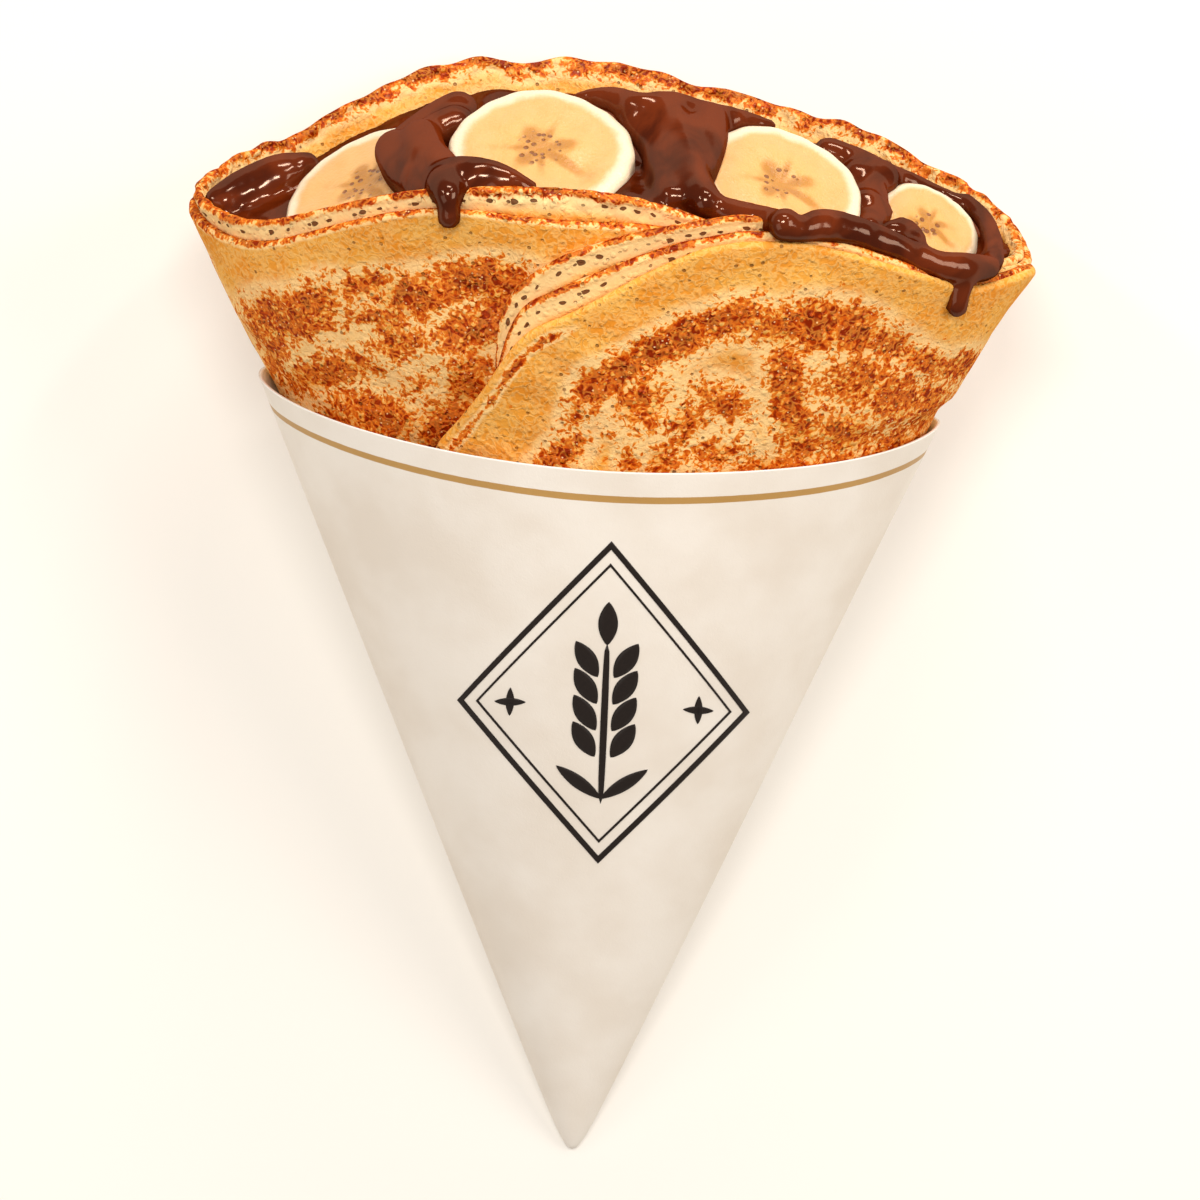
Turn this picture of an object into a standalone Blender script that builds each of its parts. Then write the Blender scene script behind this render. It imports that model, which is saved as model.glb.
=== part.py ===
"""A crepe rolled round chocolate spread and banana slices, in a plain paper cone.

It lies on its back, with its tip towards -Y, its opening towards +Y and its shown side up.
Sizes are in millimetres and angles in degrees, and MM turns a length into Blender's metres.
Round the cone, 0 degrees is the right side (+X), 90 the top, 180 the left side and 270 the back.
"""
import math

import bmesh
import bpy
import numpy as np
from mathutils import Matrix, Vector

MM = 0.001
GAP = 0.3                          # between neighbouring pieces
SHARP_EDGE = math.radians(38)

# Paper cone
TIP = np.array([-7.54, -104.48, 0.6])
PAPER_TURN = 2.4                   # of the cone's axis, from +Y towards +X
PAPER_RISE = 14.0                  # of the cone's axis above the floor
PAPER_HALF_WIDTH = 22.6
PAPER_HALF_DEPTH = 14.0
PAPER_ROUND = 5.0                  # how far past the blunt tip the straight sides would meet
PAPER_SLANT = 153.0
PAPER_WALL = 0.6
CLEARANCE = PAPER_WALL + 3 * GAP   # from the paper's outer face to the crepe in it
PAPER_FREE = (6.0, 30.0)           # past the paper's edge, where the crepe may spread out again
PAPER_COLUMNS = 56
PAPER_RINGS = 12

# Crepe
CREPE_START = np.array([1.4, 33.0, 3.9])    # its own tip, from the paper's tip
CREPE_TURN = 2.55
CREPE_RISE = 14.4
CREPE_HALF_WIDTH = 28.2
CREPE_HALF_DEPTH = 16.05
CREPE_ROUND = 1.5
CREPE_SLANT = 168.5
LAYER = 2.0                        # one thickness of crepe
CREPE_COLUMNS = 64
CAVITY_START = 104.0               # slant at which the filling begins
CAVITY_FLOOR = 97.0                # along the axis
OUTER_SHARES = (0, 0.06, 0.16, 0.28, 0.4, 0.52, 0.64, 0.76, 0.87, 0.95)     # of the slant, rings outside
WALL_DEPTHS = (0.93, 0.84, 0.76, 0.68)      # of the slant, rings on the inner wall

# Flap, the end of the roll, three layers that cross the front from the right
FLAP_LAYERS = 3
FLAP_STEP = 1.8                    # from one layer's face to the next
FLAP_STAGGER = (0.0, 2.6, 3.4)     # how far each layer's edge lies below the first one's
FLAP_ANGLES = (-14.0, 140.0)
FLAP_LOW = 62.0                    # slant of its hidden lower edge
FLAP_SINK = 0.3                    # how deep its start lies in the roll
FLAP_COLUMNS = 38
FLAP_ROWS = 8

# Banana slices: centre of the shown face from the paper's tip, radius, thickness,
# lean of the face back from straight up, turn to the right
BANANAS = (
    ((-37.5, 180.6, 58.0), 16.0, 7.5, 44.0, -32.0),
    ((-5.4, 186.2, 69.0), 16.8, 8.5, 44.0, 0.0),
    ((37.8, 180.2, 66.5), 15.3, 8.5, 41.0, 17.5),
    ((65.2, 173.6, 53.0), 10.2, 7.0, 34.0, 23.5),
)

# Chocolate
DOME = 11.0                        # how far the filling swells out of the mouth
FACE_SHARES = (0.93, 0.8, 0.64, 0.46, 0.26, 0)      # of the face's radius, its rings
CHOCOLATE_COLUMNS = 48

PAPER_COLOUR = (0.86, 0.80, 0.70, 1.0)
CREPE_COLOUR = (0.74, 0.43, 0.16, 1.0)
CHOCOLATE_COLOUR = (0.10, 0.022, 0.007, 1.0)
BANANA_COLOUR = (0.92, 0.74, 0.34, 1.0)


def bump(angle, centre, width):
    """A smooth hill of height 1 round the cone at an angle."""
    turned = (angle - centre + 180) % 360 - 180
    return np.exp(-(turned / width) ** 2)


def ramp(value, start, end):
    """A smooth step from 0 at start to 1 at end."""
    t = np.clip((value - start) / (end - start), 0, 1)
    return t * t * (3 - 2 * t)


class Cone:
    """An elliptic cone whose axis rises from the floor towards +Y."""

    def __init__(self, start, turn, rise, half_width, half_depth, blunt):
        turn, rise = math.radians(turn), math.radians(rise)
        self.start = np.array(start)
        level = math.cos(rise)
        self.axis = np.array([math.sin(turn) * level, math.cos(turn) * level, math.sin(rise)])
        self.side = np.array([math.cos(turn), -math.sin(turn), 0])
        self.front = np.cross(self.side, self.axis)
        self.width = math.tan(math.radians(half_width))
        self.depth = math.tan(math.radians(half_depth))
        self.blunt = blunt

    def point(self, angle, slant, lift):
        """A point on the wall at a slant distance from the tip, lifted off it outwards."""
        a = np.radians(angle)[:, None]
        across = self.width * np.cos(a) * self.side + self.depth * np.sin(a) * self.front
        around = self.depth * np.cos(a) * self.front - self.width * np.sin(a) * self.side
        length = np.linalg.norm(self.axis + across, axis=1, keepdims=True)
        normal = np.cross(self.axis + across, around)
        normal /= np.linalg.norm(normal, axis=1, keepdims=True)
        slant = np.asarray(slant, float).reshape(-1, 1)
        swell = np.sqrt(1 + 2 * self.blunt / np.maximum(slant, 0.01))
        wall = self.start + slant * (self.axis + swell * across) / length
        return wall + np.reshape(lift, (-1, 1)) * normal

    def on_axis(self, distance):
        return self.start + distance * self.axis


PAPER = Cone(TIP, PAPER_TURN, PAPER_RISE, PAPER_HALF_WIDTH, PAPER_HALF_DEPTH, PAPER_ROUND)
CREPE = Cone(TIP + CREPE_START, CREPE_TURN, CREPE_RISE, CREPE_HALF_WIDTH, CREPE_HALF_DEPTH, CREPE_ROUND)


def paper_rim(angle):
    """Slant of the paper's edge: higher at both sides, lower at the front."""
    return PAPER_SLANT + 9 * bump(angle, 180, 45) + 5 * bump(angle, 5, 32) - 7.3 * bump(angle, 88, 45)


def crepe_rim(angle):
    """Slant of the rolled crepe's edge: tallest at the back, lower where the flap covers it."""
    hills = 6.2 * bump(angle, 262, 33)
    dips = 3 * bump(angle, 0, 25) + 5.6 * bump(angle, 143, 22) + 1.5 * bump(angle, 90, 35)
    under_flap = 9 * bump(angle, 64, 20) + 5 * bump(angle, 38, 18)
    frill = 0.7 * np.sin(np.radians(angle * 11)) + 0.5 * np.sin(np.radians(angle * 19 + 40))
    return CREPE_SLANT + hills - dips - under_flap + frill * bump(angle, 265, 70)


def flap_edge(angle, layer):
    """Slant of a flap layer's free edge, which curves from the rim into a long diagonal."""
    fall = 1.5 * 6.5 * np.log1p(np.exp((angle - 88) / 6.5))
    corner = 2.2 * bump(angle, 101, 5)
    stagger = FLAP_STAGGER[layer] * (ramp(angle, 10, 75) + 0.35 * layer * bump(angle, 99, 9))
    return 165 - fall + corner - 2.4 * bump(angle, 38, 12) - stagger


def top_edge(angle):
    """Slant of the highest crepe edge, the roll's or the flap's."""
    return np.maximum(crepe_rim(angle), flap_edge(angle, 0))


def flap_lift(angle, slant):
    """How far the flap stands off the roll, 0 to 1, from its start and its hidden end."""
    return ramp(angle, FLAP_ANGLES[0], 55) * ramp(slant, FLAP_LOW, FLAP_LOW + 35)


def kept_clear(points, depth):
    """Points drawn in from the paper round them and off the floor, each with its depth in the wall."""
    offset = points - TIP
    along = offset @ PAPER.axis
    across = np.stack([offset @ PAPER.side, offset @ PAPER.front], axis=1)
    angle = np.degrees(np.arctan2(across[:, 1] / PAPER.depth, across[:, 0] / PAPER.width))
    reach = np.linalg.norm(across, axis=1)
    slant = np.hypot(along, reach)
    wall = along * np.sqrt(1 + 2 * PAPER.blunt / slant)
    share = np.hypot(across[:, 0] / PAPER.width, across[:, 1] / PAPER.depth) / wall
    past_edge = slant - paper_rim(angle)
    allowed = 1 - (CLEARANCE + depth) / np.maximum(reach, 8) + 0.4 * ramp(past_edge, *PAPER_FREE)
    across *= np.minimum(1, allowed / np.maximum(share, 0.1))[:, None]
    points = TIP + along[:, None] * PAPER.axis + across @ np.stack([PAPER.side, PAPER.front])
    paper_end = TIP[1] + PAPER_SLANT
    level = CLEARANCE * ramp(points[:, 1], paper_end + 8, paper_end + 1)
    points[:, 2] = np.maximum(points[:, 2], level + depth)
    return points


def material(name, colour, roughness, coat=0.0):
    made = bpy.data.materials.new(name)
    made.use_nodes = True
    shader = made.node_tree.nodes["Principled BSDF"]
    shader.inputs["Base Color"].default_value = colour
    shader.inputs["Roughness"].default_value = roughness
    shader.inputs["Coat Weight"].default_value = coat
    return made


def add_object(name, bm, collection, finish):
    mesh = bpy.data.meshes.new(name)
    bm.to_mesh(mesh)
    bm.free()
    mesh.shade_smooth()
    mesh.set_sharp_from_angle(angle=SHARP_EDGE)
    made = bpy.data.objects.new(name, mesh)
    made.data.materials.append(finish)
    collection.objects.link(made)
    return made


def reshaped_ball(columns, rings, place):
    """A UV sphere whose vertices are moved by place(angle, ring), ring 0 being one pole."""
    bm = bmesh.new()
    bmesh.ops.create_uvsphere(bm, u_segments=columns, v_segments=rings, radius=1)
    unit = np.array([v.co for v in bm.verts])
    angle = np.degrees(np.arctan2(-unit[:, 1], unit[:, 0])) % 360
    ring = np.rint(np.arccos(np.clip(-unit[:, 2], -1, 1)) / math.pi * rings).astype(int)
    for vertex, point in zip(bm.verts, place(angle, ring) * MM):
        vertex.co = point
    return bm, ring


def picked(stations, ring):
    """Each vertex's value in a list of stations that runs from pole to pole."""
    table = np.array([np.broadcast_to(s, ring.shape) for s in stations])
    return table[ring, np.arange(len(ring))]


def make_paper_cone(collection, finish):
    """An open cone with a blunt tip, flattened where it lies on the floor."""
    def place(angle, ring):
        share = (ring / (PAPER_RINGS - 1)) ** 1.6
        points = PAPER.point(angle, share * paper_rim(angle), np.zeros(len(angle)))
        points[:, 2] = np.maximum(points[:, 2], 0)
        return points
    bm, ring = reshaped_ball(PAPER_COLUMNS, PAPER_RINGS, place)
    bm.verts.ensure_lookup_table()
    open_end = [bm.verts[i] for i in np.flatnonzero(ring == PAPER_RINGS)]
    bmesh.ops.delete(bm, geom=open_end, context="VERTS")
    cone = add_object("paper_cone", bm, collection, finish)
    wall = cone.modifiers.new("wall", "SOLIDIFY")
    wall.thickness = PAPER_WALL * MM
    wall.offset = -1
    return cone


def make_crepe(collection, layers, finish):
    """The roll, two layers thick and hollow above its lower half, with the flap joined on."""
    def place(angle, ring):
        inner = crepe_rim(angle)
        outer = inner - 2.4 * bump(angle, 120, 50) - 0.8
        slants = [share * outer for share in OUTER_SHARES]
        slants += [outer, outer + 0.5, outer - 0.4, inner, inner + 0.6, inner - 0.4]
        slants += [depth * inner for depth in WALL_DEPTHS] + [CAVITY_START, CAVITY_START]
        lifts = [0] * len(OUTER_SHARES) + edges + [-2 * LAYER] * (len(WALL_DEPTHS) + 2)
        lift = picked(lifts, ring)
        points = kept_clear(CREPE.point(angle, picked(slants, ring), lift), -lift)
        points[ring == rings] = CREPE.on_axis(CAVITY_FLOOR)
        return points
    edges = [-0.2, -0.9, -1.9, -2.1, -3.0, -3.9]      # across the rounded edges of both layers
    rings = len(OUTER_SHARES) + len(edges) + len(WALL_DEPTHS) + 1
    bm, _ = reshaped_ball(CREPE_COLUMNS, rings, place)
    crepe = add_object("crepe", bm, collection, finish)
    for layer in range(FLAP_LAYERS):
        make_flap_layer(layer, layers, finish)
    join(crepe, layers)
    return crepe


def make_flap_layer(layer, collection, finish):
    """A rectangular grid bent round the front, down to the layer's free edge."""
    bm = bmesh.new()
    bmesh.ops.create_grid(bm, x_segments=FLAP_COLUMNS, y_segments=FLAP_ROWS, size=0.5)
    flat = np.array([v.co for v in bm.verts])
    first, last = FLAP_ANGLES
    angle = first + (last - first) * (0.5 - flat[:, 0])
    slant = FLAP_LOW + (flap_edge(angle, layer) - FLAP_LOW) * (flat[:, 1] + 0.5)
    lift = FLAP_STEP * (layer + 1) * flap_lift(angle, slant) - FLAP_SINK
    for vertex, point in zip(bm.verts, kept_clear(CREPE.point(angle, slant, lift), 0) * MM):
        vertex.co = point
    sheet = add_object("flap_layer_%d" % (layer + 1), bm, collection, finish)
    wall = sheet.modifiers.new("wall", "SOLIDIFY")
    wall.thickness = LAYER * MM
    wall.offset = -1
    return sheet


def filling_level(angle):
    """Slant of the filling's edge on the roll's inner wall, deepest at the back."""
    return crepe_rim(angle) - 2.5 - 4.5 * bump(angle, 265, 60) - 1.5 * bump(angle, 180, 30)


def make_mound(collection, finish):
    """The filling from deep in the roll up to its swelling, rippled face."""
    depths = WALL_DEPTHS[::-1] + (1.0,)
    rings = len(depths) + len(FACE_SHARES)
    everywhere = np.arange(0.0, 360.0, 5.0)
    wall = np.full(len(everywhere), -2 * LAYER)
    centre = CREPE.point(everywhere, filling_level(everywhere), wall).mean(axis=0)

    def place(angle, ring):
        inset = 2 * LAYER + 4 * GAP
        slants = [CAVITY_START] + [depth * filling_level(angle) for depth in depths]
        slants += [filling_level(angle)] * len(FACE_SHARES)
        lift = np.full(len(angle), -inset)
        points = kept_clear(CREPE.point(angle, picked(slants, ring), lift), inset)
        across = picked([1.0] * (len(depths) + 1) + list(FACE_SHARES), ring)[:, None]
        ripple = 0.9 * np.sin(np.radians(angle * 5)) + 0.7 * np.sin(np.radians(angle * 9 + 50))
        swell = DOME * (1 - across ** 2) + (ripple[:, None] * across * (1 - across) * 4)
        points = centre + (points - centre) * across + CREPE.axis * swell * (across < 1)
        points[ring == 0] = CREPE.on_axis(CAVITY_FLOOR + 3)
        return points
    bm, _ = reshaped_ball(CHOCOLATE_COLUMNS, rings, place)
    return add_object("chocolate", bm, collection, finish)


def make_ribbon(name, path, collection, finish):
    """A thick drizzle along points given as angle, height over the rim, lift and radius."""
    curve = bpy.data.curves.new(name, "CURVE")
    curve.dimensions = "3D"
    curve.bevel_depth = MM
    curve.bevel_resolution = 2
    curve.use_fill_caps = True
    spline = curve.splines.new("NURBS")
    spline.points.add(len(path) - 1)
    spline.order_u = 3
    spline.use_endpoint_u = True
    spline.resolution_u = 3
    for knot, (angle, above, lift, radius) in zip(spline.points, path):
        angle = np.array([float(angle)])
        knot.co = (*CREPE.point(angle, top_edge(angle) + above, np.array([lift]))[0] * MM, 1)
        knot.radius = radius
    tube = bpy.data.objects.new(name, curve)
    collection.objects.link(tube)
    bpy.context.view_layer.update()
    bm = bmesh.new()
    bm.from_mesh(tube.evaluated_get(bpy.context.evaluated_depsgraph_get()).to_mesh())
    bpy.data.objects.remove(tube)
    bmesh.ops.remove_doubles(bm, verts=bm.verts, dist=0.00001)
    bmesh.ops.recalc_face_normals(bm, faces=bm.faces)
    return add_object(name, bm, collection, finish)


def banana_matrix(centre, lean, turn):
    """The slice's place, its face leaning back and turned to the right."""
    facing = Matrix.Rotation(math.radians(turn), 4, "Y") @ Matrix.Rotation(math.radians(-lean), 4, "X")
    return Matrix.Translation(Vector(TIP + np.array(centre)) * MM) @ facing


def banana_body(radius, thickness, grown):
    """A short cylinder with an uneven round outline, its shown face at z = 0."""
    bm = bmesh.new()
    bmesh.ops.create_cone(bm, cap_ends=True, segments=28, radius1=1, radius2=1, depth=1)
    for vertex in bm.verts:
        angle = math.atan2(vertex.co.y, vertex.co.x)
        reach = radius * (1 + 0.02 * math.cos(3 * angle + 1) + 0.012 * math.sin(5 * angle)) + grown
        vertex.co.x *= reach * MM
        vertex.co.y *= reach * MM
        vertex.co.z = (grown if vertex.co.z > 0 else -thickness - grown) * MM
    return bm


def make_banana(number, spec, collection, cutters, finish):
    centre, radius, thickness, lean, turn = spec
    place = banana_matrix(centre, lean, turn)
    slice_ = add_object("banana_slice_%d" % number, banana_body(radius, thickness, 0), collection, finish)
    slice_.matrix_world = place
    edge = slice_.modifiers.new("edge", "BEVEL")
    edge.width = 1.4 * MM
    edge.segments = 2
    edge.limit_method = "ANGLE"
    room = add_object("room_%d" % number, banana_body(radius, thickness, GAP), cutters, finish)
    room.matrix_world = place
    room.hide_render = True
    room.display_type = "WIRE"


def apply_modifiers(target):
    bpy.context.view_layer.update()
    evaluated = target.evaluated_get(bpy.context.evaluated_depsgraph_get())
    mesh = bpy.data.meshes.new_from_object(evaluated)
    mesh.set_sharp_from_angle(angle=SHARP_EDGE)
    target.modifiers.clear()
    target.data = mesh


def boolean(target, collection, operation):
    cut = target.modifiers.new(operation.lower(), "BOOLEAN")
    cut.operation = operation
    cut.operand_type = "COLLECTION"
    cut.collection = collection
    apply_modifiers(target)


def join(target, collection):
    """Fuses a collection's objects with the target and removes them."""
    boolean(target, collection, "UNION")
    for piece in list(collection.objects):
        bpy.data.objects.remove(piece)


RIBBONS = {
    # over the front edge at the left, ending in a drop
    "left_drip": ((113, -6, -9, 3.6), (112, 1.5, -8.2, 3.6), (110, 4.6, -3, 3.2),
                  (109, 1.4, 3.4, 2.4), (109, -3.4, 3.1, 2.4), (109, -4.8, 2.9, 1.0)),
    # along the front edge from the middle to the right
    "front_ribbon": ((74.5, 2.4, 1.0, 1.0), (72.5, 2.8, 1.8, 2.8), (68, 3.0, 3, 2.6), (62, 2.9, 4.2, 2.2),
                     (55, 2.2, 5, 2.3), (48, 1.9, 5.9, 2.4), (41, 2.8, 5.6, 2.5), (33, 3.6, 1, 2.2),
                     (27, 3, -6, 2.3), (22, -6, -11, 2.6)),
    # down the outside from the front ribbon
    "right_drip": ((42, 2.8, 5.6, 2.3), (41, 1.4, 7.2, 2.1), (41, -2, 7.3, 1.9), (41, -7.2, 7.3, 2.2),
                   (41, -8.6, 7.0, 1.0)),
    # round the right-hand slice
    "right_ribbon": ((325, -6, -8, 2.0), (345, -5, -7.5, 2.2), (5, -3.5, -7.5, 2.2), (22, -2, -7, 2.2)),
    # from the left slice's right edge to the front edge
    "middle_blob": ((128, -3, -14, 3.0), (123, 1, -15, 4.2), (117, 0, -11, 4.0), (108, -1, -8, 3.4),
                    (102, -4, -8, 2.4)),
}


def main():
    for old in list(bpy.data.objects):
        bpy.data.objects.remove(old)
    parts = bpy.data.collections.new("crepe_in_paper_cone")
    cutters = bpy.data.collections.new("cutters")
    layers = bpy.data.collections.new("flap_layers")
    drizzle = bpy.data.collections.new("drizzle")
    for collection in (parts, cutters, layers, drizzle):
        bpy.context.scene.collection.children.link(collection)
    crepe_finish = material("crepe", CREPE_COLOUR, 0.55)
    chocolate_finish = material("chocolate spread", CHOCOLATE_COLOUR, 0.18, coat=0.5)
    banana_finish = material("banana", BANANA_COLOUR, 0.4)

    make_paper_cone(parts, material("paper", PAPER_COLOUR, 0.7))
    make_crepe(parts, layers, crepe_finish)
    for number, spec in enumerate(BANANAS, 1):
        make_banana(number, spec, parts, cutters, banana_finish)
    chocolate = make_mound(parts, chocolate_finish)
    for name, path in RIBBONS.items():
        make_ribbon(name, path, drizzle, chocolate_finish)
    join(chocolate, drizzle)
    boolean(chocolate, cutters, "DIFFERENCE")


main()
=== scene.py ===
# %% [markdown]
# # A filled crepe in a paper cone
# This lesson dresses a plain CAD model of a rolled crepe so that it looks like the real food.
# The crepe is two wraps of thin batter round chocolate spread and banana slices. Its end is folded
# over the front in three layers, and it lies on its back in a paper cone. All shapes here are
# functions worked out with numpy, in millimetres, and all finishes are made of shader nodes.

# %% Tools and the frame
import math

import bpy
import numpy as np
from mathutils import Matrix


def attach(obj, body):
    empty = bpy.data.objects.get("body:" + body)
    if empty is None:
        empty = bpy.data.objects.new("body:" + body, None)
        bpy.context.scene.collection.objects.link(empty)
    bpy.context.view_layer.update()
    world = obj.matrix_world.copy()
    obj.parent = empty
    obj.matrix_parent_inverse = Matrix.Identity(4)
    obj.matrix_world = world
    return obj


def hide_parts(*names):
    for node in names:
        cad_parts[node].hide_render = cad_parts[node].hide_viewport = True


MM = 0.001
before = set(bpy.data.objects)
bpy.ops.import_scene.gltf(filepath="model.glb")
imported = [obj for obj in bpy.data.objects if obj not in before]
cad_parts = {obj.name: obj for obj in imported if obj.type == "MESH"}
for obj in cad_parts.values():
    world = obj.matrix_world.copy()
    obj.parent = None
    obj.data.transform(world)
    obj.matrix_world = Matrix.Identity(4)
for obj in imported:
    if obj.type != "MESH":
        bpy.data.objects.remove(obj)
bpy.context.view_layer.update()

# %% [markdown]
# ## The cone that everything is rolled on
# Paper and crepe are both elliptic cones that rest on the floor. A point on a cone is named by its
# angle round it (0 right, 90 top, 180 left, 270 underneath), its slant distance from the tip and
# its lift off the wall. With these three numbers a layer of food is easy to describe: it has one
# lift, and its edge is a slant that changes with the angle.

# %% Hills and ramps


def bump(angle, centre, width):
    """A smooth hill of height 1 round the cone at an angle: exp of minus the squared distance."""
    turned = (angle - centre + 180) % 360 - 180
    return np.exp(-(turned / width) ** 2)


def ramp(value, start, end):
    """A smooth step from 0 at start to 1 at end: 3 t squared less 2 t cubed."""
    t = np.clip((value - start) / (end - start), 0, 1)
    return t * t * (3 - 2 * t)


def through(knots, at):
    """A soft curve through a few (place, value) knots: straight lines, then averaged over a window."""
    places, values = np.array(sorted(knots), float).T
    reach = 2.0
    shifts = np.linspace(-reach, reach, 9)
    weights = np.exp(-(shifts / reach * 1.5) ** 2)
    samples = [np.interp(at + shift, places, values) for shift in shifts]
    return np.tensordot(weights / weights.sum(), samples, 1)


# %% The cone itself


class Cone:
    """An elliptic cone whose axis rises from the floor towards +Y."""

    def __init__(self, start, turn, rise, half_width, half_depth, blunt):
        turn, rise = math.radians(turn), math.radians(rise)
        level = math.cos(rise)
        self.start = np.array(start)
        self.axis = np.array([math.sin(turn) * level, math.cos(turn) * level, math.sin(rise)])
        self.side = np.array([math.cos(turn), -math.sin(turn), 0])
        self.front = np.cross(self.side, self.axis)
        self.width = math.tan(math.radians(half_width))
        self.depth = math.tan(math.radians(half_depth))
        self.blunt = blunt

    def point(self, angle, slant, lift):
        """Tip plus slant times the wall's direction at the angle, plus lift times its normal.

        The wall bulges close to the tip, by the root of 1 plus twice blunt over the slant.
        """
        a, slant, lift = np.broadcast_arrays(np.radians(angle), np.asarray(slant, float), lift)
        a, slant, lift = a[..., None], slant[..., None], lift[..., None]
        across = self.width * np.cos(a) * self.side + self.depth * np.sin(a) * self.front
        around = self.depth * np.cos(a) * self.front - self.width * np.sin(a) * self.side
        length = np.linalg.norm(self.axis + across, axis=-1, keepdims=True)
        normal = np.cross(self.axis + across, around)
        normal /= np.linalg.norm(normal, axis=-1, keepdims=True)
        swell = np.sqrt(1 + 2 * self.blunt / np.maximum(slant, 0.01))
        return self.start + slant * (self.axis + swell * across) / length + lift * normal


TIP = np.array([-7.54, -104.48, 0.6])
PAPER_SLANT = 153.0
PAPER_WALL = 0.6
CLEARANCE = 1.5
PAPER = Cone(TIP, 2.4, 14.0, 22.6, 14.0, 5.0)
CREPE = Cone(TIP + np.array([1.4, 33.0, 3.9]), 2.55, 14.4, 28.2, 16.05, 1.5)
LAYER = 2.0
print("cone axes:", PAPER.axis.round(3), CREPE.axis.round(3))

# %% [markdown]
# ## Camera, light and floor
# The camera comes first, because every later choice is judged through it. The photograph looks
# straight at the front of the cone through a long lens. Here the cone lies on its back, so the
# camera hangs 1.1 m over it and looks down. A large key light stands at the right and a weaker one
# fills the left. Four narrow windows are there for the glints on the chocolate.

# %% Camera
CAMERA_HEIGHT = 1.1
# millimetres that the middle of the picture lies right of and above the paper's tip
CAMERA_RIGHT = 5.36
CAMERA_UP = 105.28
camera = bpy.data.objects.new("camera", bpy.data.cameras.new("camera"))
camera.data.lens = 172.0
camera.data.clip_start = 0.1
camera.location = ((TIP[0] + CAMERA_RIGHT) * MM, (TIP[1] + CAMERA_UP) * MM, CAMERA_HEIGHT)
bpy.context.scene.collection.objects.link(camera)
bpy.context.scene.camera = camera
print("camera at", tuple(round(c, 4) for c in camera.location))

# %% Lights


def add_light(name, place, width, height, watts, colour):
    """An area light of a width and height in metres that faces the middle of the food."""
    light = bpy.data.lights.new(name, "AREA")
    light.shape = "RECTANGLE"
    light.size = width
    light.size_y = height
    light.energy = watts
    light.color = colour
    lamp = bpy.data.objects.new(name, light)
    lamp.location = place
    aim = camera.location.copy()
    aim.z = 0.04
    lamp.rotation_euler = (aim - lamp.location).to_track_quat("-Z", "Y").to_euler()
    bpy.context.scene.collection.objects.link(lamp)


LAMP = (1.0, 0.97, 0.94)
DAY = (1.0, 0.97, 0.95)
# name, place, width and height in metres, watts, colour
LIGHTS = (
    ("key", (0.7, 0.15, 0.65), 0.45, 0.45, 4.2, LAMP),
    ("fill", (-0.7, -0.25, 0.8), 0.8, 0.8, 2.8, LAMP),
    ("window left", (-0.6, 0.45, 0.7), 0.07, 0.3, 1.7, DAY),
    ("window right", (0.5, 0.75, 0.7), 0.07, 0.3, 1.7, DAY),
    ("window above", (-0.02, 0.3, 0.95), 0.3, 0.1, 4.2, DAY),
    ("window behind", (0.15, 1.0, 0.45), 0.4, 0.14, 4.6, DAY),
)
for light in LIGHTS:
    add_light(*light)
world = bpy.data.worlds.new("studio")
world.use_nodes = True
background = world.node_tree.nodes["Background"]
background.inputs["Color"].default_value = (1.0, 0.965, 0.925, 1)
background.inputs["Strength"].default_value = 0.24
bpy.context.scene.world = world
bpy.context.scene.view_settings.view_transform = "Standard"

# %% [markdown]
# ## A small language for materials
# A finish is a sum of simple patterns, such as "browned where the noise is high near the edge".
# Written as nodes one by one that is hard to read, so a number on the surface is wrapped in a class
# whose arithmetic adds the Math nodes. Colours never go through Math, only through Mix.

# %% Tone and Paint


def linear(red, green, blue):
    """A screen colour of 0 to 255 as the linear colour that Blender works with."""
    channels = np.array([red, green, blue]) / 255
    low, high = channels / 12.92, ((channels + 0.055) / 1.055) ** 2.4
    return (*np.where(channels <= 0.04045, low, high).tolist(), 1.0)


class Tone:
    """A number or colour on the surface. Arithmetic on it adds Math nodes."""

    def __init__(self, paint, socket):
        self.paint = paint
        self.socket = socket

    def maths(self, operation, *values):
        """A Math node of an operation on one or two values."""
        return self.paint.node("ShaderNodeMath", dict(enumerate(values)), operation=operation)

    def __add__(self, other):
        return self.maths("ADD", self, other)

    def __sub__(self, other):
        return self.maths("SUBTRACT", self, other)

    def __rsub__(self, other):
        return self.maths("SUBTRACT", other, self)

    def __mul__(self, other):
        return self.maths("MULTIPLY", self, other)

    def __truediv__(self, other):
        return self.maths("DIVIDE", self, other)

    def __abs__(self):
        return self.maths("ABSOLUTE", self)

    __radd__ = __add__
    __rmul__ = __mul__

    def at_least(self, other):
        return self.maths("MAXIMUM", self, other)


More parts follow.
